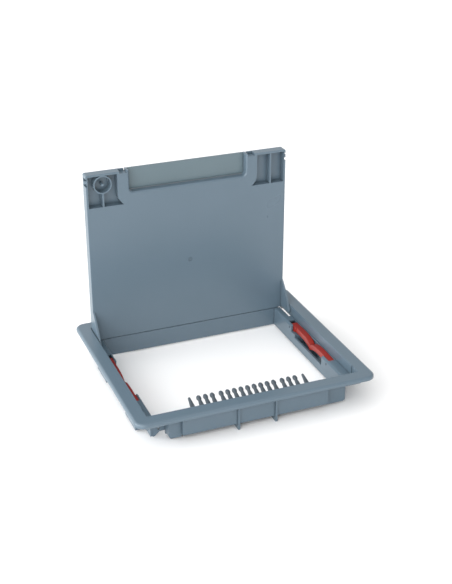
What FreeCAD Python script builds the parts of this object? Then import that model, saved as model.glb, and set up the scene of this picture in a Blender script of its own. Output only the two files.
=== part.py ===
"""Floor box cover: a moulded frame with a hinged lid, a cable flap, a cable comb and two sliding latches.

Millimetres. X runs along the hinge, Y to the rear, Z up. The origin is under the middle of the rim,
at the level of the feet. The lid is modelled closed and then swung open on its hinge pins.
"""
import FreeCAD, Part
import math
import os

V = FreeCAD.Vector

# Rim that lies on the floor
RIM_LENGTH = 270.0
RIM_DEPTH = 236.0
RIM_WIDTH = 15.5
RIM_HEIGHT = 5.5
RIM_CORNER = 11.0
RIM_EDGE_ROUND = 2.8
RIM_MOUTH_ROUND = 0.6
RIM_PLATE = 2.6
RIM_LIP = 3.2
RIM_FOOT_BEVEL = 1.2

# Walls below the rim, as drops from the floor line
FOOT_DROP = 30.5
WALL_DROP = 28.2
HOUSING_DROP = 27.6
APRON_DROP = 24.2
STEP_WALL = 2.5
INNER_WALL = 2.3
LEDGE_SIDE = 11.4
LEDGE_FRONT = 14.0
LEDGE_REAR = 12.0
LEDGE_PLATE = 2.2
LEDGE_ROUND = 2.5

# Front apron and feet
APRON_HALF = 82.7
APRON_PROUD = 4.5
APRON_STEP_BACK = 0.1
APRON_LEFT_REACH = 13.6
APRON_RIGHT_REACH = 22.7
APRON_END_ROUND = 3.0
ARCH_HEIGHT = 5.0
ARCH_SLOPE_SHARE = 0.47
ARCH_HOLE = 2.0
ARCH_HOLE_DROP = 20.0
FOOT_RIB = 2.3
FOOT_RIB_PROUD = 2.2
FRONT_FOOT_X = 21.3
REAR_FOOT_X = 72.0
REAR_FOOT_INSET = 7.0
REAR_FOOT_LENGTH = 5.0

# Lid
LID_THICK = 11.3
LID_LEDGE_GAP = 0.5
LID_SIDE_GAP = 0.8
LID_REAR_GAP = 0.5
LID_FRONT_GAP = 3.5
LID_FLOOR = 3.0
LID_WALL = 2.4
LID_BAND = 42.0
LID_BAND_TOP = 2.5
LID_CORNER = 2.0
LID_EDGE_ROUND = 0.7
TRAY_RIB = 1.6
TRAY_RIB_HEIGHT = 1.2
TRAY_ROWS = 3
TRAY_COLUMNS = 4
GATE_RADIUS = 2.6
GATE_NUB_RADIUS = 1.0
GATE_DEPTH = 0.5
GATE_TO_HINGE = 20.0

# Pockets in the lid's front corners, with a lock ring in the left one
POCKET_LENGTH = 36.0
POCKET_LAND = 13.6
POCKET_FLARE = 6.5
POCKET_FLARE_LENGTH = 13.0
POCKET_FLARE_BOW = 1.3
POCKET_RIB = 1.9
RING_RADIUS = 10.5
RING_WALL = 1.5
RING_FROM_EDGE = 12.7
RING_PIN_RADIUS = 1.6

# Catches at the lid's front corners
CATCH_FROM_EDGE = 4.0
CATCH_LENGTH = 3.6
CATCH_SLOT = 9.0
CATCH_RELIEF = 2.0
CATCH_PROUD = 1.2
CATCH_HEIGHT = 5.0
CATCH_SIDE_GAP = 0.3
CATCH_END_GAP = 0.8

# Hinge of the lid
PIN_RADIUS = 2.0
PIN_LENGTH = 9.0
PIN_RUNNING_GAP = 0.08
HINGE_GAP = 0.4
EAR_THICK = 2.0
EAR_DROP = 23.4
EAR_LENGTH = 31.0
EAR_BEHIND_PIN = 3.5
EAR_TIP = 3.0
EAR_BULGE = 1.4
EAR_SLOT_GAP = 1.2

# Cable flap in the lid's front edge
FLAP_OPENING_HALF = 69.4
FLAP_OPENING_DEPTH = 25.5
FLAP_OPENING_CORNER = 4.5
FLAP_BEVEL = 1.4
FLAP_THICK = 2.5
FLAP_GAP = 0.5
FLAP_PIN_RADIUS = 0.9
FLAP_PIN_LENGTH = 2.0
FLAP_TAB = 2.4
FLAP_TAB_SLIT = 1.3
FLAP_NOTCH_LENGTH = 7.0
FLAP_NOTCH_DEPTH = 2.6

# Comb in the cable outlet: a strip on the front ledge with rising fingers in three groups
COMB_SIDE_FINGERS = 3
COMB_PITCH = 7.55
COMB_GROUP_PITCH = 10.0
COMB_END_GAP = 0.8
COMB_STRIP = 2.3
COMB_STRIP_WIDTH = 12.0
COMB_PEG_RADIUS = 1.5
COMB_PEG_GAP = 0.1
COMB_PEGS = 4
FINGER_LENGTH = 14.5
FINGER_THICK = 2.2
FINGER_BASE = 6.4
FINGER_NECK = 3.6
FINGER_HEAD_RADIUS = 2.7
FINGER_TIP_RADIUS = 1.8
FINGER_ANGLE = 22.0

# Sliding latches in the side ledges, given for the right side
LATCH_FROM_STEP = 1.5
LATCH_BAR_WIDTH = 6.4
LATCH_BAR_HEIGHT = 6.5
LATCH_PAD_WIDTH = 7.1
LATCH_PAD_LENGTH = 13.0
LATCH_PAD_THICK = 2.6
LATCH_FRONT_Y = -51.6
LATCH_REAR_Y = 47.3
LATCH_GAP = 0.4
LATCH_TRAVEL = 6.0
LATCH_END_DROP = 0.6
LATCH_VALLEY = 5.0
HUMP_CREST_FROM = 0.35
HUMP_CREST_TO = 0.65
HUMP_SHOULDER = 0.85
HUMP_SHOULDER_FALL = 0.3
LATCH_FOOT_LENGTH = 10.0
LATCH_TONGUE = 6.0
CHANNEL_DROP = 14.3
CHANNEL_FLOOR = 2.0
WINDOW_DROP = 18.0
WINDOW_SHIFT = 1.0
PAD_OPENING_INSET = 6.0
DRAIN_Y = -12.5
DRAIN_LENGTH = 11.0
DRAIN_HEIGHT = 6.0
CLAW_LENGTH = 8.0
CLAW_THICK = 3.0
CLAW_DROP = 24.0
CLAW_TOE = 3.0
SNAP_HOLE = 1.8
SNAP_HOLE_HEIGHT = 2.8
SNAP_HOLE_DROP = 12.0
SNAP_HOLE_INSET = 1.2

# Claw housings under the side ledges, given for the right side
HOUSING_REACH = 4.0
HOUSING_WALL = 2.2
HOUSING_LENGTH = 34.5
HOUSING_FRONT_INSET = 12.1
HOUSING_REAR_INSET = 16.9
HOUSING_WINDOW = 14.0
HOUSING_WINDOW_HEIGHT = 7.0
CORNER_RIB = 2.0
CORNER_RIB_FROM_STEP = 6.9

# Places worked out from the sizes above
FLOOR = FOOT_DROP
RIM_TOP = FLOOR + RIM_HEIGHT
RIM_UNDER = RIM_TOP - RIM_PLATE
RIM_X = RIM_LENGTH / 2
RIM_Y = RIM_DEPTH / 2
MOUTH_X = RIM_X - RIM_WIDTH
MOUTH_Y = RIM_Y - RIM_WIDTH
LEDGE_TOP = RIM_TOP - LID_THICK - LID_LEDGE_GAP
LEDGE_UNDER = LEDGE_TOP - LEDGE_PLATE
BORE_X = MOUTH_X - LEDGE_SIDE
BORE_FRONT = -(MOUTH_Y - LEDGE_FRONT)
BORE_REAR = MOUTH_Y - LEDGE_REAR
WALL_FOOT = FLOOR - WALL_DROP
HOUSING_FOOT = FLOOR - HOUSING_DROP
STEP_X = MOUTH_X + STEP_WALL
STEP_Y = MOUTH_Y + STEP_WALL
FRONT_FACE_Y = -(MOUTH_Y - APRON_STEP_BACK)
APRON_FACE_Y = FRONT_FACE_Y - APRON_PROUD
INNER_FRONT_Y = BORE_FRONT - INNER_WALL
CHANNEL_TOP = FLOOR - CHANNEL_DROP
CHANNEL_UNDER = CHANNEL_TOP - CHANNEL_FLOOR

PIN_Y = MOUTH_Y - LID_REAR_GAP - LID_THICK / 2
PIN_Z = RIM_TOP - LID_THICK / 2
LID_X = MOUTH_X - LID_SIDE_GAP
LID_FRONT = -(MOUTH_Y - LID_FRONT_GAP)
LID_REAR = PIN_Y + LID_THICK / 2
LID_UNDER = RIM_TOP - LID_THICK
BAND_BACK = LID_FRONT + LID_BAND
TROUGH_RADIUS = math.hypot(LID_THICK / 2, LID_THICK / 2) + HINGE_GAP
FLAP_BACK = LID_FRONT + FLAP_OPENING_DEPTH
FLAP_UNDER = RIM_TOP - FLAP_THICK
FLAP_AXIS_Y = FLAP_BACK - FLAP_GAP - FLAP_THICK / 2
FLAP_AXIS_Z = RIM_TOP - FLAP_THICK / 2
CATCH_Y = LID_FRONT + CATCH_FROM_EDGE + (CATCH_SLOT - CATCH_LENGTH) / 2

LATCH_X1 = MOUTH_X - LATCH_FROM_STEP
LATCH_X0 = LATCH_X1 - LATCH_BAR_WIDTH
LATCH_PAD_X0 = LATCH_X1 - LATCH_PAD_WIDTH
LATCH_TOP = LEDGE_TOP - LATCH_GAP / 2
CLAW_X = (LATCH_PAD_X0 + LATCH_X1) / 2
HOUSING_FRONT_END = LATCH_FRONT_Y + HOUSING_FRONT_INSET
HOUSING_REAR_START = LATCH_REAR_Y - HOUSING_REAR_INSET
COMB_Y = -MOUTH_Y + COMB_STRIP_WIDTH / 2
OVERLAP = 0.5
TOUCH = 1e-6


def block(x0, x1, y0, y1, z0, z1):
    """Box between two corners, in any order."""
    low = V(min(x0, x1), min(y0, y1), min(z0, z1))
    return Part.makeBox(abs(x1 - x0), abs(y1 - y0), abs(z1 - z0), low)


def rounded_block(half_x, half_y, radius, z0, z1):
    """Upright prism about the Z axis with rounded corners."""
    sharp = block(-half_x, half_x, -half_y, half_y, z0, z1)
    return sharp.makeFillet(radius, upright_edges(sharp))


def upright_edges(shape):
    return [e for e in shape.Edges if abs(e.Vertexes[0].Z - e.Vertexes[-1].Z) > TOUCH]


def edges_at(shape, axis, value):
    """Edges whose ends all lie on one plane across an axis (0, 1 or 2)."""
    return [e for e in shape.Edges if all(abs(v.Point[axis] - value) < TOUCH for v in e.Vertexes)]


def ring(half_outer, front_outer, rear_outer, half_inner, front_inner, rear_inner, z0, z1):
    """Square-cornered frame between two rectangles."""
    outer = block(-half_outer, half_outer, front_outer, rear_outer, z0, z1)
    return outer.cut(block(-half_inner, half_inner, front_inner, rear_inner, z0, z1))


def prism(points, direction):
    """Flat polygon pushed along a direction."""
    face = Part.Face(Part.makePolygon(points + [points[0]]))
    return face.extrude(direction)


def rod(radius, half_length, y, z):
    """Cylinder along X, centred on the middle plane."""
    return Part.makeCylinder(radius, 2 * half_length, V(-half_length, y, z), V(1, 0, 0))


def join(shapes):
    """One clean solid from overlapping pieces."""
    whole = shapes[0]
    for shape in shapes[1:]:
        whole = whole.fuse(shape)
    return whole.removeSplitter()


def cut_all(shape, tools):
    for tool in tools:
        shape = shape.cut(tool)
    return shape


def mirrored(shape):
    """The same feature on the left side."""
    return shape.mirror(V(0, 0, 0), V(1, 0, 0))


def both_sides(shapes):
    return shapes + [mirrored(shape) for shape in shapes]


def opened(shape):
    """Swing a closed lid piece up to the open stop."""
    shape.rotate(V(0, PIN_Y, PIN_Z), V(1, 0, 0), -90)
    return shape


def make_rim():
    """Flat rim with a rounded outer edge, bevelled at the floor, and a hollow underside."""
    plate = rounded_block(RIM_X, RIM_Y, RIM_CORNER, FLOOR, RIM_TOP)
    plate = plate.makeFillet(RIM_EDGE_ROUND, edges_at(plate, 2, RIM_TOP))
    plate = plate.makeChamfer(RIM_FOOT_BEVEL, edges_at(plate, 2, FLOOR))
    hollow = rounded_block(RIM_X - RIM_LIP, RIM_Y - RIM_LIP, RIM_CORNER - RIM_LIP, FLOOR, RIM_UNDER)
    hollow = hollow.cut(block(-STEP_X, STEP_X, -STEP_Y, STEP_Y, FLOOR, RIM_TOP))
    mouth = block(-MOUTH_X, MOUTH_X, -MOUTH_Y, MOUTH_Y, FLOOR, RIM_TOP)
    rim = plate.cut(hollow).cut(mouth)
    inner = [e for e in edges_at(rim, 2, RIM_TOP)
             if all(abs(v.X) < MOUTH_X + TOUCH and abs(v.Y) < MOUTH_Y + TOUCH for v in e.Vertexes)]
    return rim.makeFillet(RIM_MOUTH_ROUND, inner)


def make_apron():
    """Hollow front box: a proud middle between two set-back ends."""
    left = -APRON_HALF - APRON_LEFT_REACH
    right = APRON_HALF + APRON_RIGHT_REACH
    foot = HOUSING_FOOT
    outline = [
        V(left, INNER_FRONT_Y, foot),
        V(left, FRONT_FACE_Y, foot),
        V(-APRON_HALF, FRONT_FACE_Y, foot),
        V(-APRON_HALF, APRON_FACE_Y, foot),
        V(APRON_HALF, APRON_FACE_Y, foot),
        V(APRON_HALF, FRONT_FACE_Y, foot),
        V(right, FRONT_FACE_Y, foot),
        V(right, INNER_FRONT_Y, foot),
    ]
    face = Part.Face(Part.makePolygon(outline + [outline[0]]))
    inside = face.makeOffset2D(-INNER_WALL, 2)
    box = face.extrude(V(0, 0, RIM_UNDER - foot))
    ends = [e for x in (left, right) for e in edges_at(box, 0, x)
            if all(abs(v.Z - foot) < TOUCH for v in e.Vertexes)]
    box = box.makeFillet(APRON_END_ROUND, ends)
    hollow = inside.extrude(V(0, 0, LEDGE_UNDER - foot))
    trim = block(-APRON_HALF, APRON_HALF, APRON_FACE_Y, FRONT_FACE_Y + INNER_WALL, foot, FLOOR - APRON_DROP)
    above_ledge = block(-MOUTH_X, MOUTH_X, -MOUTH_Y, INNER_FRONT_Y, LEDGE_UNDER, RIM_TOP)
    return cut_all(box, [hollow, trim, above_ledge])


def make_feet():
    """Rib plates that tie the walls together and carry the frame when it stands by itself."""
    half = FOOT_RIB / 2
    nose = APRON_FACE_Y - FOOT_RIB_PROUD
    heel = BORE_REAR + REAR_FOOT_INSET
    feet = []
    for side in (-1, 1):
        x = side * FRONT_FOOT_X
        feet.append(block(x - half, x + half, nose, INNER_FRONT_Y + OVERLAP, 0, LEDGE_UNDER + OVERLAP))
        feet.append(block(x - half, x + half, nose, APRON_FACE_Y + OVERLAP, LEDGE_UNDER, RIM_UNDER))
        x = side * REAR_FOOT_X - half
        rear = [
            V(x, BORE_REAR + OVERLAP, WALL_FOOT),
            V(x, heel, WALL_FOOT),
            V(x, heel, 0),
            V(x, heel + REAR_FOOT_LENGTH, 0),
            V(x, STEP_Y, LEDGE_UNDER),
            V(x, STEP_Y, LEDGE_UNDER + OVERLAP),
            V(x, BORE_REAR + OVERLAP, LEDGE_UNDER + OVERLAP),
        ]
        feet.append(prism(rear, V(FOOT_RIB, 0, 0)))
    return feet


def housing_spans():
    """The two claw housings of a side along Y."""
    return [(HOUSING_FRONT_END - HOUSING_LENGTH, HOUSING_FRONT_END),
            (HOUSING_REAR_START, HOUSING_REAR_START + HOUSING_LENGTH)]


def make_housings():
    """Right side: two claw housings and, between them, the deep channel under the latch bar."""
    outer_x = MOUTH_X + HOUSING_REACH
    wall = HOUSING_WALL
    wall_x = BORE_X + INNER_WALL
    foot = HOUSING_FOOT
    window_foot = FLOOR - CLAW_DROP - LATCH_GAP
    pieces = []
    for y0, y1 in housing_spans():
        shell = block(wall_x - OVERLAP, outer_x, y0, y1, foot, RIM_UNDER)
        below = block(wall_x, outer_x - wall, y0 + wall, y1 - wall, foot, CHANNEL_UNDER)
        above = block(wall_x, MOUTH_X, y0 + wall, y1 - wall, CHANNEL_TOP, RIM_TOP)
        over_ledge = block(wall_x - OVERLAP, MOUTH_X, y0, y1, LEDGE_UNDER, RIM_TOP)
        middle = (y0 + y1) / 2
        window = block(outer_x - wall, outer_x, middle - HOUSING_WINDOW / 2, middle + HOUSING_WINDOW / 2,
                       window_foot, window_foot + HOUSING_WINDOW_HEIGHT)
        pieces.append(cut_all(shell, [below, above, over_ledge, window]))
    front = HOUSING_FRONT_END - wall
    rear = HOUSING_REAR_START + wall
    channel_floor = foot + CHANNEL_FLOOR
    pieces.append(block(wall_x - OVERLAP, STEP_X, front, rear, foot, channel_floor))
    drain = block(MOUTH_X, STEP_X, DRAIN_Y - DRAIN_LENGTH / 2, DRAIN_Y + DRAIN_LENGTH / 2,
                  channel_floor, channel_floor + DRAIN_HEIGHT)
    pieces.append(block(MOUTH_X, STEP_X, front, rear, foot, LEDGE_TOP).cut(drain))
    # The latch bar runs through the cheeks that face each other
    passage = block(LATCH_PAD_X0 - LATCH_GAP, LATCH_X1 + LATCH_GAP, front - HOUSING_LENGTH / 2,
                    rear + HOUSING_LENGTH / 2, CHANNEL_TOP, LEDGE_TOP)
    return [piece.cut(passage) for piece in pieces]


def make_corner_ribs():
    """Stiffening ribs at two opposite corners, front left and rear right."""
    front_start, rear_end = housing_spans()[0][0], housing_spans()[1][1]
    x1 = MOUTH_X - CORNER_RIB_FROM_STEP
    x0 = x1 - CORNER_RIB
    top = LEDGE_UNDER + OVERLAP
    return [
        block(-x1, -x0, INNER_FRONT_Y, front_start + OVERLAP, HOUSING_FOOT, top),
        block(x0, x1, rear_end - OVERLAP, BORE_REAR + INNER_WALL, HOUSING_FOOT, top),
    ]


def claw_spans():
    """Where the two claws of the right latch stand along Y."""
    front = LATCH_FRONT_Y - LATCH_TONGUE
    return [(front, front + CLAW_LENGTH), (LATCH_REAR_Y - CLAW_LENGTH, LATCH_REAR_Y)]


def latch_cuts():
    """Right side: room for the latch in the ledge, the inner wall and the housing shelves."""
    gap = LATCH_GAP
    wall_x = BORE_X + INNER_WALL
    cuts = [
        block(LATCH_PAD_X0 - gap, LATCH_X1 + gap, LATCH_FRONT_Y - gap, LATCH_REAR_Y + LATCH_TRAVEL + gap,
              LEDGE_UNDER, LEDGE_TOP),
        block(BORE_X, LATCH_X0, HOUSING_FRONT_END + WINDOW_SHIFT, HOUSING_REAR_START + WINDOW_SHIFT,
              FLOOR - WINDOW_DROP, LEDGE_TOP),
        block(BORE_X, LATCH_PAD_X0, HOUSING_REAR_START, LATCH_REAR_Y - PAD_OPENING_INSET,
              CHANNEL_TOP, LEDGE_TOP),
    ]
    toe_x = CLAW_X + CLAW_THICK / 2 + CLAW_TOE
    for y0, y1 in claw_spans():
        cuts.append(block(CLAW_X - CLAW_THICK / 2 - gap, toe_x + gap, y0 - gap, y1 + LATCH_TRAVEL + gap,
                          CHANNEL_UNDER, CHANNEL_TOP))
    hole_top = FLOOR - SNAP_HOLE_DROP + SNAP_HOLE_HEIGHT
    for y in (LATCH_FRONT_Y + SNAP_HOLE_INSET, LATCH_REAR_Y - SNAP_HOLE_INSET):
        cuts.append(block(BORE_X, wall_x, y - SNAP_HOLE / 2, y + SNAP_HOLE / 2,
                          FLOOR - SNAP_HOLE_DROP, hole_top))
    return cuts


def ear_slot():
    """Slot in the right ledge that the lid's hinge ear swings through."""
    return block(LID_X - EAR_THICK - EAR_SLOT_GAP, MOUTH_X, PIN_Y - EAR_LENGTH - EAR_SLOT_GAP, MOUTH_Y,
                 0, LEDGE_TOP)


def catch_groove():
    """Groove in the right step wall for the lid's snap hook."""
    depth = CATCH_PROUD - LID_SIDE_GAP + CATCH_SIDE_GAP
    return block(MOUTH_X, MOUTH_X + depth, CATCH_Y - CATCH_END_GAP, CATCH_Y + CATCH_LENGTH + CATCH_END_GAP,
                 LEDGE_TOP, RIM_TOP)


def ledge_rounding():
    """What the rounded inner edge of the right ledge takes off the square corner."""
    corner = block(BORE_X, BORE_X + LEDGE_ROUND, BORE_FRONT, BORE_REAR, LEDGE_TOP - LEDGE_ROUND, LEDGE_TOP)
    axis = V(BORE_X + LEDGE_ROUND, BORE_FRONT, LEDGE_TOP - LEDGE_ROUND)
    return corner.cut(Part.makeCylinder(LEDGE_ROUND, BORE_REAR - BORE_FRONT, axis, V(0, 1, 0)))


def wall_arch():
    """Arch and small square hole in the front inner wall, left of the apron."""
    y = INNER_FRONT_Y
    x0 = -BORE_X
    x1 = -APRON_HALF - APRON_LEFT_REACH
    knee = x0 + (x1 - x0) * ARCH_SLOPE_SHARE
    arch = [
        V(x0, y, WALL_FOOT),
        V(knee, y, WALL_FOOT + ARCH_HEIGHT),
        V(x1, y, WALL_FOOT + ARCH_HEIGHT),
        V(x1, y, WALL_FOOT),
    ]
    hole_x = knee - ARCH_HOLE
    hole_z = FLOOR - ARCH_HOLE_DROP
    return [
        prism(arch, V(0, INNER_WALL, 0)),
        block(hole_x, hole_x + ARCH_HOLE, y, BORE_FRONT, hole_z - ARCH_HOLE / 2, hole_z + ARCH_HOLE / 2),
    ]


def comb_pegs(radius, z0, z1):
    """Row of pegs, or of their holes, under the comb strip."""
    step = 2 * comb_half() / COMB_PEGS
    places = [-comb_half() + step * (i + 0.5) for i in range(COMB_PEGS)]
    return [Part.makeCylinder(radius, z1 - z0, V(x, COMB_Y, z0)) for x in places]


def make_frame():
    step_wall = ring(STEP_X, -STEP_Y, STEP_Y, MOUTH_X, -MOUTH_Y, MOUTH_Y, LEDGE_UNDER, RIM_UNDER)
    ledge = ring(STEP_X, -STEP_Y, STEP_Y, BORE_X, BORE_FRONT, BORE_REAR, LEDGE_UNDER, LEDGE_TOP)
    wall = ring(BORE_X + INNER_WALL, INNER_FRONT_Y, BORE_REAR + INNER_WALL,
                BORE_X, BORE_FRONT, BORE_REAR, WALL_FOOT, LEDGE_TOP)
    # Round trough under the hinge, where the lid's square rear edge swings
    trough_room = block(-STEP_X, STEP_X, BORE_REAR, STEP_Y, 0, LEDGE_TOP)
    trough_shell = rod(TROUGH_RADIUS + LEDGE_PLATE, STEP_X, PIN_Y, PIN_Z).common(trough_room)
    mouth_room = block(-MOUTH_X, MOUTH_X, BORE_REAR, MOUTH_Y, 0, RIM_TOP)
    trough = rod(TROUGH_RADIUS, MOUTH_X, PIN_Y, PIN_Z).common(mouth_room)
    body = join([make_rim(), step_wall, ledge, wall, trough_shell, make_apron()] + make_feet()
                + make_corner_ribs() + both_sides(make_housings()))
    cuts = both_sides([ledge_rounding(), ear_slot(), catch_groove()] + latch_cuts())
    cuts += wall_arch() + comb_pegs(COMB_PEG_RADIUS + COMB_PEG_GAP, LEDGE_UNDER, LEDGE_TOP)
    return cut_all(body, cuts + [trough, rod(PIN_RADIUS, STEP_X, PIN_Y, PIN_Z)])


def pocket(side):
    """Hollow in a front corner of the lid, seen from below, with one flared corner."""
    z0 = LID_UNDER
    height = LID_THICK - LID_BAND_TOP
    outer_x = LID_X - LID_WALL
    inner_x = FLAP_OPENING_HALF + POCKET_LAND
    outer = side * outer_x
    inner = side * inner_x
    flare = side * (inner_x - POCKET_FLARE)
    front = LID_FRONT + LID_WALL
    back = front + POCKET_LENGTH
    bend = back - POCKET_FLARE_LENGTH
    sides = [
        Part.makeLine(V(inner, front, z0), V(outer, front, z0)),
        Part.makeLine(V(outer, front, z0), V(outer, back, z0)),
        Part.makeLine(V(outer, back, z0), V(flare, back, z0)),
        Part.Arc(V(flare, back, z0), V(inner - side * POCKET_FLARE_BOW, (back + bend) / 2, z0),
                 V(inner, bend, z0)).toShape(),
        Part.makeLine(V(inner, bend, z0), V(inner, front, z0)),
    ]
    hollow = Part.Face(Part.Wire(sides)).extrude(V(0, 0, height))
    half = POCKET_RIB / 2
    rib_x = side * (inner_x + outer_x) / 2
    hollow = hollow.cut(block(rib_x - half, rib_x + half, front, back, z0, z0 + LID_THICK))
    if side > 0:
        return hollow
    centre = V(rib_x, LID_FRONT + RING_FROM_EDGE, z0)
    bore = Part.makeCylinder(RING_RADIUS - RING_WALL, height, centre)
    pin = Part.makeCylinder(RING_PIN_RADIUS, height, centre)
    return hollow.cut(Part.makeCylinder(RING_RADIUS, height, centre)).fuse(bore.cut(pin))


def make_tray():
    """Recess on the lid's upper side for a piece of floor covering, with low support ribs."""
    half_x = LID_X - LID_WALL
    back = PIN_Y - LID_THICK / 2 + LID_WALL
    floor = LID_UNDER + LID_FLOOR
    tray = block(-half_x, half_x, BAND_BACK, back, floor, RIM_TOP)
    rib_top = floor + TRAY_RIB_HEIGHT
    half = TRAY_RIB / 2
    for i in range(1, TRAY_COLUMNS):
        x = -half_x + 2 * half_x * i / TRAY_COLUMNS
        tray = tray.cut(block(x - half, x + half, BAND_BACK, back, floor, rib_top))
    for i in range(1, TRAY_ROWS):
        y = BAND_BACK + (back - BAND_BACK) * i / TRAY_ROWS
        tray = tray.cut(block(-half_x, half_x, y - half, y + half, floor, rib_top))
    return tray


def flap_outline(grow, z):
    """Outline of the flap opening with rounded inner corners, grown outwards, at one height."""
    half = FLAP_OPENING_HALF + grow
    front = LID_FRONT - OVERLAP
    back = FLAP_BACK + grow
    radius = FLAP_OPENING_CORNER + grow
    inset = radius * (1 - math.sqrt(0.5))
    edges = [
        Part.makeLine(V(-half, front, z), V(half, front, z)),
        Part.makeLine(V(half, front, z), V(half, back - radius, z)),
        Part.Arc(V(half, back - radius, z), V(half - inset, back - inset, z),
                 V(half - radius, back, z)).toShape(),
        Part.makeLine(V(half - radius, back, z), V(radius - half, back, z)),
        Part.Arc(V(radius - half, back, z), V(inset - half, back - inset, z),
                 V(-half, back - radius, z)).toShape(),
        Part.makeLine(V(-half, back - radius, z), V(-half, front, z)),
    ]
    return Part.Wire(edges)


def flap_opening():
    """Gap in the lid's front edge under the flap, bevelled on the underside, with the hinge room."""
    half = FLAP_OPENING_HALF
    gap = Part.Face(flap_outline(0.0, LID_UNDER)).extrude(V(0, 0, LID_THICK))
    wide = flap_outline(FLAP_BEVEL, LID_UNDER)
    narrow = flap_outline(0.0, LID_UNDER + FLAP_BEVEL)
    bevel = Part.makeLoft([wide, narrow], True)
    hinge_room = block(-half, half, FLAP_AXIS_Y - FLAP_THICK, FLAP_BACK, FLAP_UNDER - FLAP_GAP, RIM_TOP)
    return gap.fuse(bevel).fuse(hinge_room)


def flap_notches():
    """Beside the flap: a thin tab, a slit and a shallow notch in the lid's front edge."""
    back = LID_FRONT + FLAP_NOTCH_DEPTH
    slit = FLAP_OPENING_HALF + FLAP_TAB
    notch = slit + FLAP_TAB_SLIT
    return both_sides([
        block(slit, notch, LID_FRONT, back, LID_UNDER, RIM_TOP),
        block(notch, notch + FLAP_NOTCH_LENGTH, LID_FRONT, back, LID_UNDER, RIM_TOP - LID_BAND_TOP),
    ])


def make_ear():
    """Right gusset that stiffens the hinge corner, flush with the lid's side, with a bowed edge."""
    x = LID_X
    heel = PIN_Y + EAR_BEHIND_PIN
    foot = LID_UNDER - EAR_DROP
    root = LID_UNDER + LID_FLOOR
    toe = V(x, heel - EAR_TIP, foot)
    end = V(x, PIN_Y - EAR_LENGTH, LID_UNDER)
    along = end.sub(toe)
    outwards = V(0, along.z, -along.y).normalize()
    if outwards.z > 0:
        outwards = outwards.negative()
    middle = toe.add(end).multiply(0.5).add(outwards.multiply(EAR_BULGE))
    edges = [
        Part.makeLine(V(x, heel, root), V(x, heel, foot)),
        Part.makeLine(V(x, heel, foot), toe),
        Part.Arc(toe, middle, end).toShape(),
        Part.makeLine(end, V(x, end.y, root)),
        Part.makeLine(V(x, end.y, root), V(x, heel, root)),
    ]
    return Part.Face(Part.Wire(edges)).extrude(V(-EAR_THICK, 0, 0))


def catch_slot():
    """Slot in the lid's right side wall round the snap hook."""
    y0 = LID_FRONT + CATCH_FROM_EDGE
    top = LID_UNDER + (LID_THICK + CATCH_HEIGHT) / 2
    return block(LID_X - CATCH_RELIEF, LID_X, y0, y0 + CATCH_SLOT, LID_UNDER, top)


def catch_hook():
    """Right snap hook."""
    middle = LID_UNDER + LID_THICK / 2
    root = LID_X - CATCH_RELIEF - OVERLAP
    tip = LID_X + CATCH_PROUD
    profile = [V(root, CATCH_Y, LID_UNDER + LID_WALL / 2), V(tip, CATCH_Y, middle - CATCH_HEIGHT / 2),
               V(tip, CATCH_Y, middle), V(root, CATCH_Y, middle + CATCH_HEIGHT / 2)]
    return prism(profile, V(0, CATCH_LENGTH, 0))


def lid_body():
    """Plain lid: round along the hinge, with rounded front corners and a softened lower edge."""
    body = block(-LID_X, LID_X, LID_FRONT, LID_REAR, LID_UNDER, RIM_TOP)
    front_corners = [e for e in upright_edges(body) if abs(e.Vertexes[0].Y - LID_FRONT) < TOUCH]
    body = body.makeFillet(LID_CORNER, front_corners)
    hinge_edge = [e for e in edges_at(body, 2, RIM_TOP)
                  if all(abs(v.Y - LID_REAR) < TOUCH for v in e.Vertexes)]
    body = body.makeFillet(LID_THICK / 2, hinge_edge)
    lower = [e for e in edges_at(body, 2, LID_UNDER)
             if any(abs(v.Y - LID_REAR) > TOUCH for v in e.Vertexes)]
    return body.makeFillet(LID_EDGE_ROUND, lower)


def make_lid():
    body = cut_all(lid_body(), [make_tray(), pocket(-1), pocket(1), flap_opening()]
                   + flap_notches() + both_sides([catch_slot()]))
    body = join([body] + both_sides([make_ear(), catch_hook()]))
    gate_place = V(0, (LID_FRONT + PIN_Y) / 2 + GATE_TO_HINGE, LID_UNDER)
    gate = Part.makeCylinder(GATE_RADIUS, GATE_DEPTH, gate_place)
    gate = gate.cut(Part.makeCylinder(GATE_NUB_RADIUS, GATE_DEPTH, gate_place))
    pin_hole = rod(PIN_RADIUS + PIN_RUNNING_GAP, LID_X, PIN_Y, PIN_Z)
    core_x = STEP_X - PIN_LENGTH - OVERLAP
    pin_hole = pin_hole.cut(block(-core_x, core_x, PIN_Y - LID_THICK, PIN_Y + LID_THICK, LID_UNDER, RIM_TOP))
    flap_hole = rod(FLAP_PIN_RADIUS + PIN_RUNNING_GAP, FLAP_OPENING_HALF + FLAP_PIN_LENGTH,
                    FLAP_AXIS_Y, FLAP_AXIS_Z)
    return opened(cut_all(body, [gate, pin_hole, flap_hole]))


def make_flap():
    """Flap plate with its hinge barrel and two small pins."""
    half = FLAP_OPENING_HALF - FLAP_GAP
    plate = block(-half, half, LID_FRONT, FLAP_AXIS_Y, FLAP_UNDER, RIM_TOP)
    barrel = rod(FLAP_THICK / 2, half, FLAP_AXIS_Y, FLAP_AXIS_Z)
    pin = rod(FLAP_PIN_RADIUS, FLAP_OPENING_HALF + FLAP_PIN_LENGTH - FLAP_GAP, FLAP_AXIS_Y, FLAP_AXIS_Z)
    return opened(join([plate, barrel, pin]))


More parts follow.
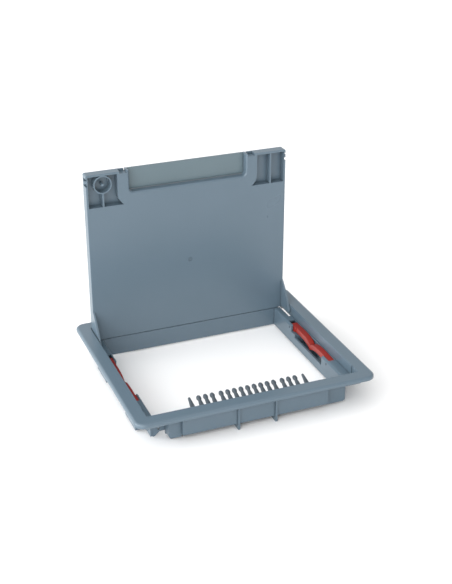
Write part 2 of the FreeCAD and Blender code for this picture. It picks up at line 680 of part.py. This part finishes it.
def comb_places():
    """X of each finger: plain end fingers, side groups and a middle group that fills the outlet."""
    room = 2 * (FLAP_OPENING_HALF - COMB_END_GAP) - FINGER_BASE
    side_steps = [COMB_GROUP_PITCH] + [COMB_PITCH] * (COMB_SIDE_FINGERS - 1) + [COMB_GROUP_PITCH]
    middle_steps = int((room - 2 * sum(side_steps)) / COMB_PITCH)
    steps = side_steps + [COMB_PITCH] * middle_steps + side_steps[::-1]
    places = [-sum(steps) / 2]
    for step in steps:
        places.append(places[-1] + step)
    return places


def comb_half():
    return comb_places()[-1] + FINGER_BASE / 2


def make_finger(plain):
    """Flat finger along +Y: a tapered stem with a round head, or a rounded point."""
    radius = FINGER_TIP_RADIUS if plain else FINGER_HEAD_RADIUS
    half_neck = FINGER_TIP_RADIUS if plain else FINGER_NECK / 2
    half_base = FINGER_BASE / 2
    end = FINGER_LENGTH + FINGER_HEAD_RADIUS
    neck_y = end - radius - math.sqrt(radius ** 2 - half_neck ** 2)
    left = V(-half_neck, neck_y, 0)
    right = V(half_neck, neck_y, 0)
    edges = [
        Part.makeLine(V(-half_base, 0, 0), V(half_base, 0, 0)),
        Part.makeLine(V(half_base, 0, 0), right),
        Part.Arc(right, V(0, end, 0), left).toShape(),
        Part.makeLine(left, V(-half_base, 0, 0)),
    ]
    return Part.Face(Part.Wire(edges)).extrude(V(0, 0, FINGER_THICK))


def make_comb():
    """Strip pegged to the front ledge with a row of fingers that rise into the cable outlet."""
    places = comb_places()
    half = comb_half()
    back = -MOUTH_Y + COMB_STRIP_WIDTH
    pieces = [block(-half, half, -MOUTH_Y, back, LEDGE_TOP, LEDGE_TOP + COMB_STRIP)]
    pieces += comb_pegs(COMB_PEG_RADIUS, LEDGE_UNDER, LEDGE_TOP + OVERLAP)
    for x in places:
        finger = make_finger(x in (places[0], places[-1]))
        finger.rotate(V(0, 0, 0), V(1, 0, 0), FINGER_ANGLE)
        finger.translate(V(x, back - FINGER_THICK, LEDGE_TOP))
        pieces.append(finger)
    return join(pieces)


def hump(start_y, valley_y, drop):
    """Half of the latch bar's wavy line: a long finger hump that falls steeply into the valley."""
    shape = [
        (0.0, LATCH_END_DROP),
        (HUMP_CREST_FROM, 0.0),
        (HUMP_CREST_TO, 0.0),
        (HUMP_SHOULDER, HUMP_SHOULDER_FALL * LATCH_VALLEY),
        (1.0, LATCH_VALLEY),
    ]
    points = [V(LATCH_X0, start_y + (valley_y - start_y) * share, LATCH_TOP - drop - fall)
              for share, fall in shape]
    curve = Part.BSplineCurve()
    curve.interpolate(points)
    return curve.toShape()


def make_latch():
    """Right latch: a wavy grip bar between two pads, each on a foot with a claw that hooks outwards."""
    valley_y = (LATCH_FRONT_Y + LATCH_REAR_Y) / 2
    end_top = LATCH_TOP - LATCH_END_DROP
    lines = []
    for y in (LATCH_FRONT_Y, LATCH_REAR_Y):
        lines.append(hump(y, valley_y, 0.0))
        lines.append(hump(y, valley_y, LATCH_BAR_HEIGHT))
        lines.append(Part.makeLine(V(LATCH_X0, y, end_top), V(LATCH_X0, y, end_top - LATCH_BAR_HEIGHT)))
    outline = Part.Wire(Part.__sortEdges__(lines))
    pieces = [Part.Face(outline).extrude(V(LATCH_BAR_WIDTH, 0, 0))]
    foot_top = LEDGE_UNDER - LATCH_GAP
    foot_under = CHANNEL_TOP + LATCH_GAP / 2
    claw_foot = FLOOR - CLAW_DROP
    toe_x = CLAW_X + CLAW_THICK / 2 + CLAW_TOE
    pads = [(LATCH_FRONT_Y, LATCH_FRONT_Y + LATCH_PAD_LENGTH),
            (LATCH_REAR_Y - LATCH_PAD_LENGTH, LATCH_REAR_Y)]
    feet = [(LATCH_FRONT_Y - LATCH_TONGUE, LATCH_FRONT_Y + LATCH_FOOT_LENGTH),
            (LATCH_REAR_Y - LATCH_FOOT_LENGTH, LATCH_REAR_Y)]
    for y0, y1 in pads:
        pieces.append(block(LATCH_PAD_X0, LATCH_X1, y0, y1, end_top - LATCH_PAD_THICK, end_top))
    for y0, y1 in feet:
        pieces.append(block(LATCH_PAD_X0, LATCH_X1, y0, y1, foot_under, foot_top))
    for y0, y1 in claw_spans():
        pieces.append(block(CLAW_X - CLAW_THICK / 2, CLAW_X + CLAW_THICK / 2, y0, y1,
                            claw_foot, foot_under + OVERLAP))
        pieces.append(block(CLAW_X, toe_x, y0, y1, claw_foot, claw_foot + CLAW_TOE))
    return join(pieces)


def make_pin(side):
    """Steel hinge pin, pushed in from outside the step wall."""
    return Part.makeCylinder(PIN_RADIUS, PIN_LENGTH, V(side * STEP_X, PIN_Y, PIN_Z), V(-side, 0, 0))


PARTS = {
    "frame": make_frame(),
    "lid": make_lid(),
    "cable_flap": make_flap(),
    "cable_comb": make_comb(),
    "latch_right": make_latch(),
    "latch_left": mirrored(make_latch()),
    "hinge_pin_left": make_pin(-1),
    "hinge_pin_right": make_pin(1),
}

os.makedirs("parts", exist_ok=True)
for name, shape in PARTS.items():
    solid = shape.Solids[0] if len(shape.Solids) == 1 else shape
    solid.exportStep("parts/" + name + ".step")
    print(name, len(shape.Solids), "solid", round(shape.Volume / 1000, 1), "cm3", shape.isValid())
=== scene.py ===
import math

import bpy
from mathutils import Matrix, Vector


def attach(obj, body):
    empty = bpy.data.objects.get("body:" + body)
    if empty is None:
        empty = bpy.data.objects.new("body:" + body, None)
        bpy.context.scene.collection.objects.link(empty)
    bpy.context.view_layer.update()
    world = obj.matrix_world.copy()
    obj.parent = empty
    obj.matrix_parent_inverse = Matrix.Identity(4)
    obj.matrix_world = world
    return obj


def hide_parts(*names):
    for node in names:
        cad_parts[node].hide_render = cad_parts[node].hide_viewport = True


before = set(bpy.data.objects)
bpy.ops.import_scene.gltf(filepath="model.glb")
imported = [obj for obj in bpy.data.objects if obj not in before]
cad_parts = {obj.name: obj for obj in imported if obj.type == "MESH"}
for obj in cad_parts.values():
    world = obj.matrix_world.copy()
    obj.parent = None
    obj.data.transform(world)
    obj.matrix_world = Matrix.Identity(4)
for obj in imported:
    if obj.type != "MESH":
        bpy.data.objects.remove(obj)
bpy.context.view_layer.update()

MM = 0.001

# Camera, found from the rim, mouth and lid edges in the photograph
PHOTO_HEIGHT_PX = 584
FOCAL_PX = 1120.6
SENSOR_MM = 36.0
CAMERA_AZIMUTH = -22.04
CAMERA_ELEVATION = 26.02
CAMERA_DISTANCE = 1223.5 * MM
FLOOR_LINE = 30.5 * MM
CAMERA_TARGET = Vector((7.9 * MM, 0.0, 74.75 * MM + FLOOR_LINE))

# Studio, in metres and watts; the dome's bounds are parts of a direction of length one
FLOOR_HALF = 60.0
FLOOR_ROUGHNESS = 0.9
DOME_SIDE = 0.8
DOME_LEFT_STRENGTH = 1.5
DOME_RIGHT_STRENGTH = 0.6
HORIZON_WHITE_TO = 0.15
HORIZON_GONE_AT = 0.35
SOFT_BOXES = {
    "key_front_left": {"place": (-1.5, -1.6, 1.1), "aim": (0.0, 0.0, 0.08), "size": 2.2, "watts": 32.0},
    "side_left": {"place": (-2.0, 0.25, 0.75), "aim": (0.1, 0.0, 0.05), "size": 1.6, "watts": 28.0},
}

# Moulded plastic, sizes in millimetres
CLOUD_SIZE = 70.0
CLOUD_DETAIL = 2.0
GRAIN_SIZE = 2.2
GRAIN_DETAIL = 3.0
GRAIN_HEIGHT = 0.04
GRAIN_STRENGTH = 0.3
EDGE_RADIUS = 0.45
EDGE_SAMPLES = 4
# Painted shade: within this reach of a part's own inner corners and pockets, its base colour is darkened
# down to this fraction
PAINTED_SHADE_REACH = 2.2
PAINTED_SHADE_DARKEST = 0.45
PAINTED_SHADE_SAMPLES = 8
ROUGHNESS_SPREAD = 0.06
PLASTIC_IOR = 1.53

# Drawn steel, with the spacing of its lines in millimetres
DRAW_LINE_SPACING = 0.3
DRAW_LINE_SCALE = (0.05, 1.0, 1.0)
STEEL_SMOOTHEST = 0.2
STEEL_ROUGHEST = 0.35

# Comb in the cable outlet, in millimetres; its groups are counted in steps from the middle
COMB_FINGERS = 17
COMB_PITCH = 7.55
COMB_GROUP_GAP = 2.45
COMB_MIDDLE_HALF = 4.5
COMB_SIDE_HALF = 7.5
FINGER_ROOT = (-93.1, 25.0)
FINGER_REACH = 17.2
FINGER_BASE_HALF = 3.2
FINGER_NECK_HALF = 1.55
FINGER_HEAD_RADIUS = 2.7
FINGER_TIP_RADIUS = 1.5
FINGER_HEAD_STRETCH = 1.35
FINGER_STEM_FLATNESS = 0.38
FINGER_HEAD_FULLNESS = 0.78
FINGER_LEAN = math.radians(22.0)
FINGER_RINGS = 40
FINGER_RING_POINTS = 20
LEDGE_TOP = 24.2
LEDGE_UNDER = 22.0
STRIP_HALF = 68.5
STRIP_FRONT = -102.5
STRIP_WIDTH = 12.0
STRIP_HEIGHT = 2.3
STRIP_ROUND = 0.5
STRIP_ROUND_STEPS = 4
STRIP_MIDDLE_Y = STRIP_FRONT + STRIP_WIDTH / 2
STRIP_MIDDLE_Z = LEDGE_TOP + STRIP_HEIGHT / 2
PEGS = 4
PEG_RADIUS = 1.5
PEG_SIDES = 24
PEG_STEP = 2 * STRIP_HALF / PEGS
PEG_FIRST_X = PEG_STEP / 2 - STRIP_HALF
PEG_MIDDLE_Z = (LEDGE_TOP + LEDGE_UNDER) / 2


def linear(hex_colour):
    """sRGB hex to a linear RGBA tuple."""
    parts = [int(hex_colour[i:i + 2], 16) / 255 for i in (1, 3, 5)]
    return tuple(c / 12.92 if c <= 0.04045 else ((c + 0.055) / 1.055) ** 2.4 for c in parts) + (1.0,)


def per_metre(size_mm):
    """Texture scale that puts one feature every size_mm."""
    return 1000.0 / size_mm


def node(tree, kind, links=None, values=None, **settings):
    """Add a node with its settings, socket values and links."""
    made = tree.nodes.new(kind)
    for name, value in settings.items():
        setattr(made, name, value)
    for socket, value in (values or {}).items():
        made.inputs[socket].default_value = value
    for socket, sources in (links or {}).items():
        for source in sources if isinstance(sources, list) else [sources]:
            tree.links.new(source, made.inputs[socket])
    return made


def new_material(name):
    """Material with an empty node tree, and that tree."""
    material = bpy.data.materials.new(name)
    material.use_nodes = True
    material.node_tree.nodes.clear()
    return material, material.node_tree


def moulded_plastic(name, colour, shade, roughness):
    """Injection-moulded plastic: satin spark-eroded grain, faint flow clouding, softened edges.

    The colour is darkened within the last millimetres of the moulding's inner corners and pockets: painted
    shade.
    The real grain is about 0.2 mm across, too fine to show, so it is drawn as coarse as it needs to be.
    """
    material, tree = new_material(name)
    place = node(tree, "ShaderNodeTexCoord").outputs["Object"]
    clouds = node(tree, "ShaderNodeTexNoise", {"Vector": place},
                  {"Scale": per_metre(CLOUD_SIZE), "Detail": CLOUD_DETAIL})
    tint = node(tree, "ShaderNodeMix", {"Factor": clouds.outputs["Fac"]},
                {6: linear(colour), 7: linear(shade)}, data_type="RGBA")
    # Painted shade: the part's own ambient occlusion darkens the base colour in its inner corners and
    # pockets
    painted_shade_ao = node(tree, "ShaderNodeAmbientOcclusion", None, {"Distance": PAINTED_SHADE_REACH * MM},
                  samples=PAINTED_SHADE_SAMPLES, only_local=True)
    painted_shade = node(tree, "ShaderNodeMapRange", {"Value": painted_shade_ao.outputs["AO"]}, {"To Min": PAINTED_SHADE_DARKEST})
    body = node(tree, "ShaderNodeMix", {6: tint.outputs[2], 7: painted_shade.outputs["Result"]}, {0: 1.0},
                data_type="RGBA", blend_type="MULTIPLY")
    grain = node(tree, "ShaderNodeTexNoise", {"Vector": place},
                 {"Scale": per_metre(GRAIN_SIZE), "Detail": GRAIN_DETAIL})
    satin = node(tree, "ShaderNodeMapRange", {"Value": clouds.outputs["Fac"]},
                 {"To Min": roughness - ROUGHNESS_SPREAD, "To Max": roughness + ROUGHNESS_SPREAD})
    soft_edge = node(tree, "ShaderNodeBevel", None, {"Radius": EDGE_RADIUS * MM}, samples=EDGE_SAMPLES)
    bump = node(tree, "ShaderNodeBump", {
        "Height": grain.outputs["Fac"],
        "Normal": soft_edge.outputs["Normal"],
    }, {"Strength": GRAIN_STRENGTH, "Distance": GRAIN_HEIGHT * MM})
    shader = node(tree, "ShaderNodeBsdfPrincipled", {
        "Base Color": body.outputs[2],
        "Roughness": satin.outputs["Result"],
        "Normal": bump.outputs["Normal"],
    }, {"IOR": PLASTIC_IOR})
    node(tree, "ShaderNodeOutputMaterial", {"Surface": shader.outputs["BSDF"]})
    return material


def drawn_steel():
    """Bright drawn steel wire: metal with fine lengthwise draw lines."""
    material, tree = new_material("bright drawn steel")
    place = node(tree, "ShaderNodeTexCoord").outputs["Object"]
    stretch = node(tree, "ShaderNodeMapping", {"Vector": place}, {"Scale": DRAW_LINE_SCALE})
    lines = node(tree, "ShaderNodeTexNoise", {"Vector": stretch.outputs["Vector"]},
                 {"Scale": per_metre(DRAW_LINE_SPACING)})
    rough = node(tree, "ShaderNodeMapRange", {"Value": lines.outputs["Fac"]},
                 {"To Min": STEEL_SMOOTHEST, "To Max": STEEL_ROUGHEST})
    shader = node(tree, "ShaderNodeBsdfPrincipled", {"Roughness": rough.outputs["Result"]},
                  {"Metallic": 1.0, "Base Color": linear("#c9ccd0")})
    node(tree, "ShaderNodeOutputMaterial", {"Surface": shader.outputs["BSDF"]})
    return material


def dress(names, material):
    """Give CAD nodes their finish."""
    for name in names:
        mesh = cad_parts[name].data
        mesh.materials.clear()
        mesh.materials.append(material)


def finger_skin(tree, sizes, head_radius, neck_half):
    """Nodes for one finger along +Y: a tapered stem and a round head, both of flattened round section."""
    reach = node(tree, "ShaderNodeCombineXYZ", {"Y": sizes["Finger Reach"]})
    axis = node(tree, "GeometryNodeCurvePrimitiveLine", {"End": reach.outputs["Vector"]})
    axis = node(tree, "GeometryNodeResampleCurve", {"Curve": axis.outputs["Curve"]},
                {"Count": FINGER_RINGS})
    place = node(tree, "GeometryNodeInputPosition")
    along = node(tree, "ShaderNodeSeparateXYZ", {"Vector": place.outputs["Position"]}).outputs["Y"]
    head_length = node(tree, "ShaderNodeMath", {0: head_radius, 1: sizes["Head Stretch"]},
                       operation="MULTIPLY").outputs[0]
    centre = node(tree, "ShaderNodeMath", {0: sizes["Finger Reach"], 1: head_length},
                  operation="SUBTRACT").outputs[0]

    # Half width of the stem up to the head's centre, and of the stretched ball round it
    taper = node(tree, "ShaderNodeMapRange", {
        "Value": along,
        "From Max": centre,
        "To Min": sizes["Base Half Width"],
        "To Max": neck_half,
    }).outputs["Result"]
    before = node(tree, "ShaderNodeMath", {0: along, 1: centre}, operation="LESS_THAN").outputs[0]
    stem = node(tree, "ShaderNodeMath", {0: taper, 1: before}, operation="MULTIPLY").outputs[0]
    away = node(tree, "ShaderNodeMath", {0: along, 1: centre}, operation="SUBTRACT").outputs[0]
    away = node(tree, "ShaderNodeMath", {0: away, 1: sizes["Head Stretch"]}, operation="DIVIDE").outputs[0]
    away_squared = node(tree, "ShaderNodeMath", {0: away, 1: away}, operation="MULTIPLY").outputs[0]
    radius_squared = node(tree, "ShaderNodeMath", {0: head_radius, 1: head_radius},
                          operation="MULTIPLY").outputs[0]
    left = node(tree, "ShaderNodeMath", {0: radius_squared, 1: away_squared},
                operation="SUBTRACT").outputs[0]
    left = node(tree, "ShaderNodeMath", {0: left}, {1: 0.0}, operation="MAXIMUM").outputs[0]
    head = node(tree, "ShaderNodeMath", {0: left}, operation="SQRT").outputs[0]
    half = node(tree, "ShaderNodeMath", {0: stem, 1: head}, operation="MAXIMUM").outputs[0]

    # Round skin of that half width, flat at the root and fuller at the head, turned up by the lean
    ring = node(tree, "GeometryNodeCurvePrimitiveCircle", None,
                {"Resolution": FINGER_RING_POINTS, "Radius": 1.0})
    skin = node(tree, "GeometryNodeCurveToMesh", {
        "Curve": axis.outputs["Curve"],
        "Profile Curve": ring.outputs["Curve"],
        "Scale": half,
    }, {"Fill Caps": True})
    smooth = node(tree, "GeometryNodeSetShadeSmooth", {"Geometry": skin.outputs["Mesh"]})
    fullness = node(tree, "ShaderNodeMapRange", {
        "Value": along,
        "From Max": centre,
        "To Min": sizes["Stem Flatness"],
        "To Max": sizes["Head Fullness"],
    }, interpolation_type="SMOOTHERSTEP")
    squeeze = node(tree, "ShaderNodeCombineXYZ", {"Z": fullness.outputs["Result"]}, {"X": 1.0, "Y": 1.0})
    squeezed = node(tree, "ShaderNodeVectorMath", {
        0: place.outputs["Position"],
        1: squeeze.outputs["Vector"],
    }, operation="MULTIPLY")
    finger = node(tree, "GeometryNodeSetPosition", {
        "Geometry": smooth.outputs["Geometry"],
        "Position": squeezed.outputs["Vector"],
    })
    lean = node(tree, "ShaderNodeCombineXYZ", {"X": sizes["Lean"]})
    return node(tree, "GeometryNodeTransform", {
        "Geometry": finger.outputs["Geometry"],
        "Rotation": lean.outputs["Vector"],
    }).outputs["Geometry"]


COMB_INPUTS = {
    "Fingers": ("NodeSocketInt", COMB_FINGERS),
    "Pitch": ("NodeSocketFloat", COMB_PITCH * MM),
    "Group Gap": ("NodeSocketFloat", COMB_GROUP_GAP * MM),
    "Middle Half": ("NodeSocketFloat", COMB_MIDDLE_HALF),
    "Side Half": ("NodeSocketFloat", COMB_SIDE_HALF),
    "Finger Root Y": ("NodeSocketFloat", FINGER_ROOT[0] * MM),
    "Finger Root Z": ("NodeSocketFloat", FINGER_ROOT[1] * MM),
    "Finger Reach": ("NodeSocketFloat", FINGER_REACH * MM),
    "Base Half Width": ("NodeSocketFloat", FINGER_BASE_HALF * MM),
    "Neck Half Width": ("NodeSocketFloat", FINGER_NECK_HALF * MM),
    "Head Radius": ("NodeSocketFloat", FINGER_HEAD_RADIUS * MM),
    "Tip Radius": ("NodeSocketFloat", FINGER_TIP_RADIUS * MM),
    "Head Stretch": ("NodeSocketFloat", FINGER_HEAD_STRETCH),
    "Stem Flatness": ("NodeSocketFloat", FINGER_STEM_FLATNESS),
    "Head Fullness": ("NodeSocketFloat", FINGER_HEAD_FULLNESS),
    "Lean": ("NodeSocketFloat", FINGER_LEAN),
    "Strip Half Length": ("NodeSocketFloat", STRIP_HALF * MM),
    "Strip Middle": ("NodeSocketVector", (0.0, STRIP_MIDDLE_Y * MM, STRIP_MIDDLE_Z * MM)),
    "Strip Width": ("NodeSocketFloat", STRIP_WIDTH * MM),
    "Strip Height": ("NodeSocketFloat", STRIP_HEIGHT * MM),
    "Strip Round": ("NodeSocketFloat", STRIP_ROUND * MM),
    "Pegs": ("NodeSocketInt", PEGS),
    "Peg Radius": ("NodeSocketFloat", PEG_RADIUS * MM),
    "Peg Length": ("NodeSocketFloat", (LEDGE_TOP - LEDGE_UNDER) * MM),
    "Peg Start": ("NodeSocketVector", (PEG_FIRST_X * MM, STRIP_MIDDLE_Y * MM, PEG_MIDDLE_Z * MM)),
    "Peg Step": ("NodeSocketVector", (PEG_STEP * MM, 0.0, 0.0)),
    "Plastic": ("NodeSocketMaterial", None),
}


def comb_tree():
    """Fingers in a wide middle group, two side groups of three and two plain ends, on a pegged strip."""
    tree = bpy.data.node_groups.new("cable comb", "GeometryNodeTree")
    for name, (kind, _) in COMB_INPUTS.items():
        tree.interface.new_socket(name, in_out="INPUT", socket_type=kind)
    tree.interface.new_socket("Comb", in_out="OUTPUT", socket_type="NodeSocketGeometry")
    sizes = node(tree, "NodeGroupInput").outputs

    # Places of the fingers: even steps from the middle, with a gap added after each group
    last = node(tree, "ShaderNodeMath", {0: sizes["Fingers"]}, {1: 1.0}, operation="SUBTRACT").outputs[0]
    middle = node(tree, "ShaderNodeMath", {0: last}, {1: 0.5}, operation="MULTIPLY").outputs[0]
    index = node(tree, "GeometryNodeInputIndex").outputs["Index"]
    step = node(tree, "ShaderNodeMath", {0: index, 1: middle}, operation="SUBTRACT").outputs[0]
    steps_out = node(tree, "ShaderNodeMath", {0: step}, operation="ABSOLUTE").outputs[0]
    side = node(tree, "ShaderNodeMath", {0: step}, operation="SIGN").outputs[0]
    past_middle = node(tree, "ShaderNodeMath", {0: steps_out, 1: sizes["Middle Half"]},
                       operation="GREATER_THAN").outputs[0]
    at_end = node(tree, "ShaderNodeMath", {0: steps_out, 1: sizes["Side Half"]},
                  operation="GREATER_THAN").outputs[0]
    gaps = node(tree, "ShaderNodeMath", {0: past_middle, 1: at_end}, operation="ADD").outputs[0]
    signed_gaps = node(tree, "ShaderNodeMath", {0: gaps, 1: side}, operation="MULTIPLY").outputs[0]
    added = node(tree, "ShaderNodeMath", {0: signed_gaps, 1: sizes["Group Gap"]},
                 operation="MULTIPLY").outputs[0]
    x = node(tree, "ShaderNodeMath", {0: step, 1: sizes["Pitch"], 2: added},
             operation="MULTIPLY_ADD").outputs[0]
    spot = node(tree, "ShaderNodeCombineXYZ", {
        "X": x,
        "Y": sizes["Finger Root Y"],
        "Z": sizes["Finger Root Z"],
    })
    row = node(tree, "GeometryNodeMeshLine", {"Count": sizes["Fingers"]})
    row = node(tree, "GeometryNodeSetPosition", {
        "Geometry": row.outputs["Mesh"],
        "Position": spot.outputs["Vector"],
    })
    inside = node(tree, "ShaderNodeMath", {1: at_end}, {0: 1.0}, operation="SUBTRACT").outputs[0]
    headed = node(tree, "GeometryNodeInstanceOnPoints", {
        "Points": row.outputs["Geometry"],
        "Selection": inside,
        "Instance": finger_skin(tree, sizes, sizes["Head Radius"], sizes["Neck Half Width"]),
    })
    plain = node(tree, "GeometryNodeInstanceOnPoints", {
        "Points": row.outputs["Geometry"],
        "Selection": at_end,
        "Instance": finger_skin(tree, sizes, sizes["Tip Radius"], sizes["Tip Radius"]),
    })

    # Strip: a rounded section drawn along the ledge
    strip_end = node(tree, "ShaderNodeCombineXYZ", {"X": sizes["Strip Half Length"]})
    strip_start = node(tree, "ShaderNodeVectorMath", {0: strip_end.outputs["Vector"]},
                       {1: (-1.0, 0.0, 0.0)}, operation="MULTIPLY")
    strip_line = node(tree, "GeometryNodeCurvePrimitiveLine", {
        "Start": strip_start.outputs["Vector"],
        "End": strip_end.outputs["Vector"],
    })
    section = node(tree, "GeometryNodeCurvePrimitiveQuadrilateral", {
        "Width": sizes["Strip Width"],
        "Height": sizes["Strip Height"],
    })
    section = node(tree, "GeometryNodeFilletCurve", {
        "Curve": section.outputs["Curve"],
        "Radius": sizes["Strip Round"],
    }, {"Count": STRIP_ROUND_STEPS}, mode="POLY")
    strip = node(tree, "GeometryNodeCurveToMesh", {
        "Curve": strip_line.outputs["Curve"],
        "Profile Curve": section.outputs["Curve"],
    }, {"Fill Caps": True})
    strip = node(tree, "GeometryNodeTransform", {
        "Geometry": strip.outputs["Mesh"],
        "Translation": sizes["Strip Middle"],
    })

    # Pegs that hold the strip in the ledge's holes
    peg = node(tree, "GeometryNodeMeshCylinder", {
        "Radius": sizes["Peg Radius"],
        "Depth": sizes["Peg Length"],
    }, {"Vertices": PEG_SIDES})
    peg_row = node(tree, "GeometryNodeMeshLine", {
        "Count": sizes["Pegs"],
        "Start Location": sizes["Peg Start"],
        "Offset": sizes["Peg Step"],
    })
    pegs = node(tree, "GeometryNodeInstanceOnPoints", {
        "Points": peg_row.outputs["Mesh"],
        "Instance": peg.outputs["Mesh"],
    })

    whole = node(tree, "GeometryNodeJoinGeometry", {"Geometry": [
        headed.outputs["Instances"],
        plain.outputs["Instances"],
        strip.outputs["Geometry"],
        pegs.outputs["Instances"],
    ]})
    solid = node(tree, "GeometryNodeRealizeInstances", {"Geometry": whole.outputs["Geometry"]})
    made = node(tree, "GeometryNodeSetMaterial", {
        "Geometry": solid.outputs["Geometry"],
        "Material": sizes["Plastic"],
    })
    node(tree, "NodeGroupOutput", {"Comb": made.outputs["Geometry"]})
    return tree


def make_comb(plastic):
    """Cable comb with round-edged, bulb-headed fingers in place of the flat ones of the solid."""
    comb = bpy.data.objects.new("cable_comb_fingers", bpy.data.meshes.new("cable_comb_blank"))
    bpy.context.collection.objects.link(comb)
    tree = comb_tree()
    maker = comb.modifiers.new("comb", "NODES")
    maker.node_group = tree
    sockets = {item.name: item.identifier for item in tree.interface.items_tree if item.in_out == "INPUT"}
    for name, (_, value) in COMB_INPUTS.items():
        maker[sockets[name]] = plastic if name == "Plastic" else value
    made = comb.evaluated_get(bpy.context.evaluated_depsgraph_get())
    mesh = bpy.data.meshes.new_from_object(made)
    comb.modifiers.clear()
    comb.data = mesh
    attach(comb, "base")
    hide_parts("cable_comb")


def make_floor():
    """Plain pale studio floor, wide enough to reach the horizon in low views."""
    mesh = bpy.data.meshes.new("studio_floor")
    corners = [(x * FLOOR_HALF, y * FLOOR_HALF, 0) for x, y in ((-1, -1), (1, -1), (1, 1), (-1, 1))]
    mesh.from_pydata(corners, [], [(0, 1, 2, 3)])
    floor = bpy.data.objects.new("studio_floor", mesh)
    bpy.context.collection.objects.link(floor)
    material, tree = new_material("pale matt floor")
    shader = node(tree, "ShaderNodeBsdfPrincipled", None,
                  {"Roughness": FLOOR_ROUGHNESS, "Base Color": linear("#fdfdfd")})
    node(tree, "ShaderNodeOutputMaterial", {"Surface": shader.outputs["BSDF"]})
    mesh.materials.append(material)


def make_dome():
    """White dome, brighter on the left than on the right, and plain white all round near the horizon."""
    world = bpy.data.worlds.new("soft_white_studio")
    bpy.context.scene.world = world
    world.use_nodes = True
    tree = world.node_tree
    tree.nodes.clear()
    direction = node(tree, "ShaderNodeTexCoord").outputs["Generated"]
    way = node(tree, "ShaderNodeSeparateXYZ", {"Vector": direction})
    sideways = node(tree, "ShaderNodeMapRange", {"Value": way.outputs["X"]}, {
        "From Min": -DOME_SIDE,
        "From Max": DOME_SIDE,
        "To Min": DOME_LEFT_STRENGTH,
        "To Max": DOME_RIGHT_STRENGTH,
    }, interpolation_type="SMOOTHSTEP")
    horizon = node(tree, "ShaderNodeMapRange", {"Value": way.outputs["Z"]}, {
        "From Min": HORIZON_WHITE_TO,
        "From Max": HORIZON_GONE_AT,
        "To Min": 1.0,
        "To Max": 0.0,
    })
    strength = node(tree, "ShaderNodeMath", {
        0: sideways.outputs["Result"],
        1: horizon.outputs["Result"],
    }, operation="MAXIMUM")
    dome = node(tree, "ShaderNodeBackground", {"Strength": strength.outputs[0]},
                {"Color": (1.0, 1.0, 1.0, 1.0)})
    node(tree, "ShaderNodeOutputWorld", {"Surface": dome.outputs["Background"]})


def add_soft_box(name, place, aim, size, watts):
    """Square area light at a place, turned to its aim."""
    light = bpy.data.lights.new(name, "AREA")
    light.shape = "SQUARE"
    light.size = size
    light.energy = watts
    lamp = bpy.data.objects.new(name, light)
    bpy.context.collection.objects.link(lamp)
    lamp.location = place
    lamp.rotation_euler = (Vector(aim) - Vector(place)).to_track_quat("-Z", "Y").to_euler()


def make_lights():
    """Dome and large soft boxes, with white shown as white."""
    bpy.context.scene.view_settings.view_transform = "Standard"
    make_dome()
    for name, sizes in SOFT_BOXES.items():
        add_soft_box(name, **sizes)


def make_camera():
    """Camera at the photograph's viewing angle."""
    azimuth = math.radians(CAMERA_AZIMUTH)
    elevation = math.radians(CAMERA_ELEVATION)
    back = Vector((math.sin(azimuth) * math.cos(elevation), -math.cos(azimuth) * math.cos(elevation),
                   math.sin(elevation)))
    data = bpy.data.cameras.new("photo_camera")
    data.sensor_width = SENSOR_MM
    data.lens = FOCAL_PX / PHOTO_HEIGHT_PX * SENSOR_MM
    camera = bpy.data.objects.new("photo_camera", data)
    bpy.context.collection.objects.link(camera)
    camera.location = CAMERA_TARGET + back * CAMERA_DISTANCE
    camera.rotation_euler = back.to_track_quat("Z", "Y").to_euler()
    bpy.context.scene.camera = camera


make_camera()
make_comb(moulded_plastic("dark grey flexible polypropylene, moulded",
                          colour="#434e57", shade="#3c464e", roughness=0.3))
dress(["frame", "lid"],
      moulded_plastic("blue-grey ABS, moulded satin", colour="#5c6d7a", shade="#566874", roughness=0.3))
dress(["cable_flap"],
      moulded_plastic("green-grey ABS, moulded satin", colour="#607178", shade="#5a6b72", roughness=0.3))
dress(["latch_left", "latch_right"],
      moulded_plastic("red ABS, moulded semi-gloss", colour="#98200d", shade="#8c1b0b", roughness=0.34))
dress(["hinge_pin_left", "hinge_pin_right"], drawn_steel())
make_floor()
make_lights()
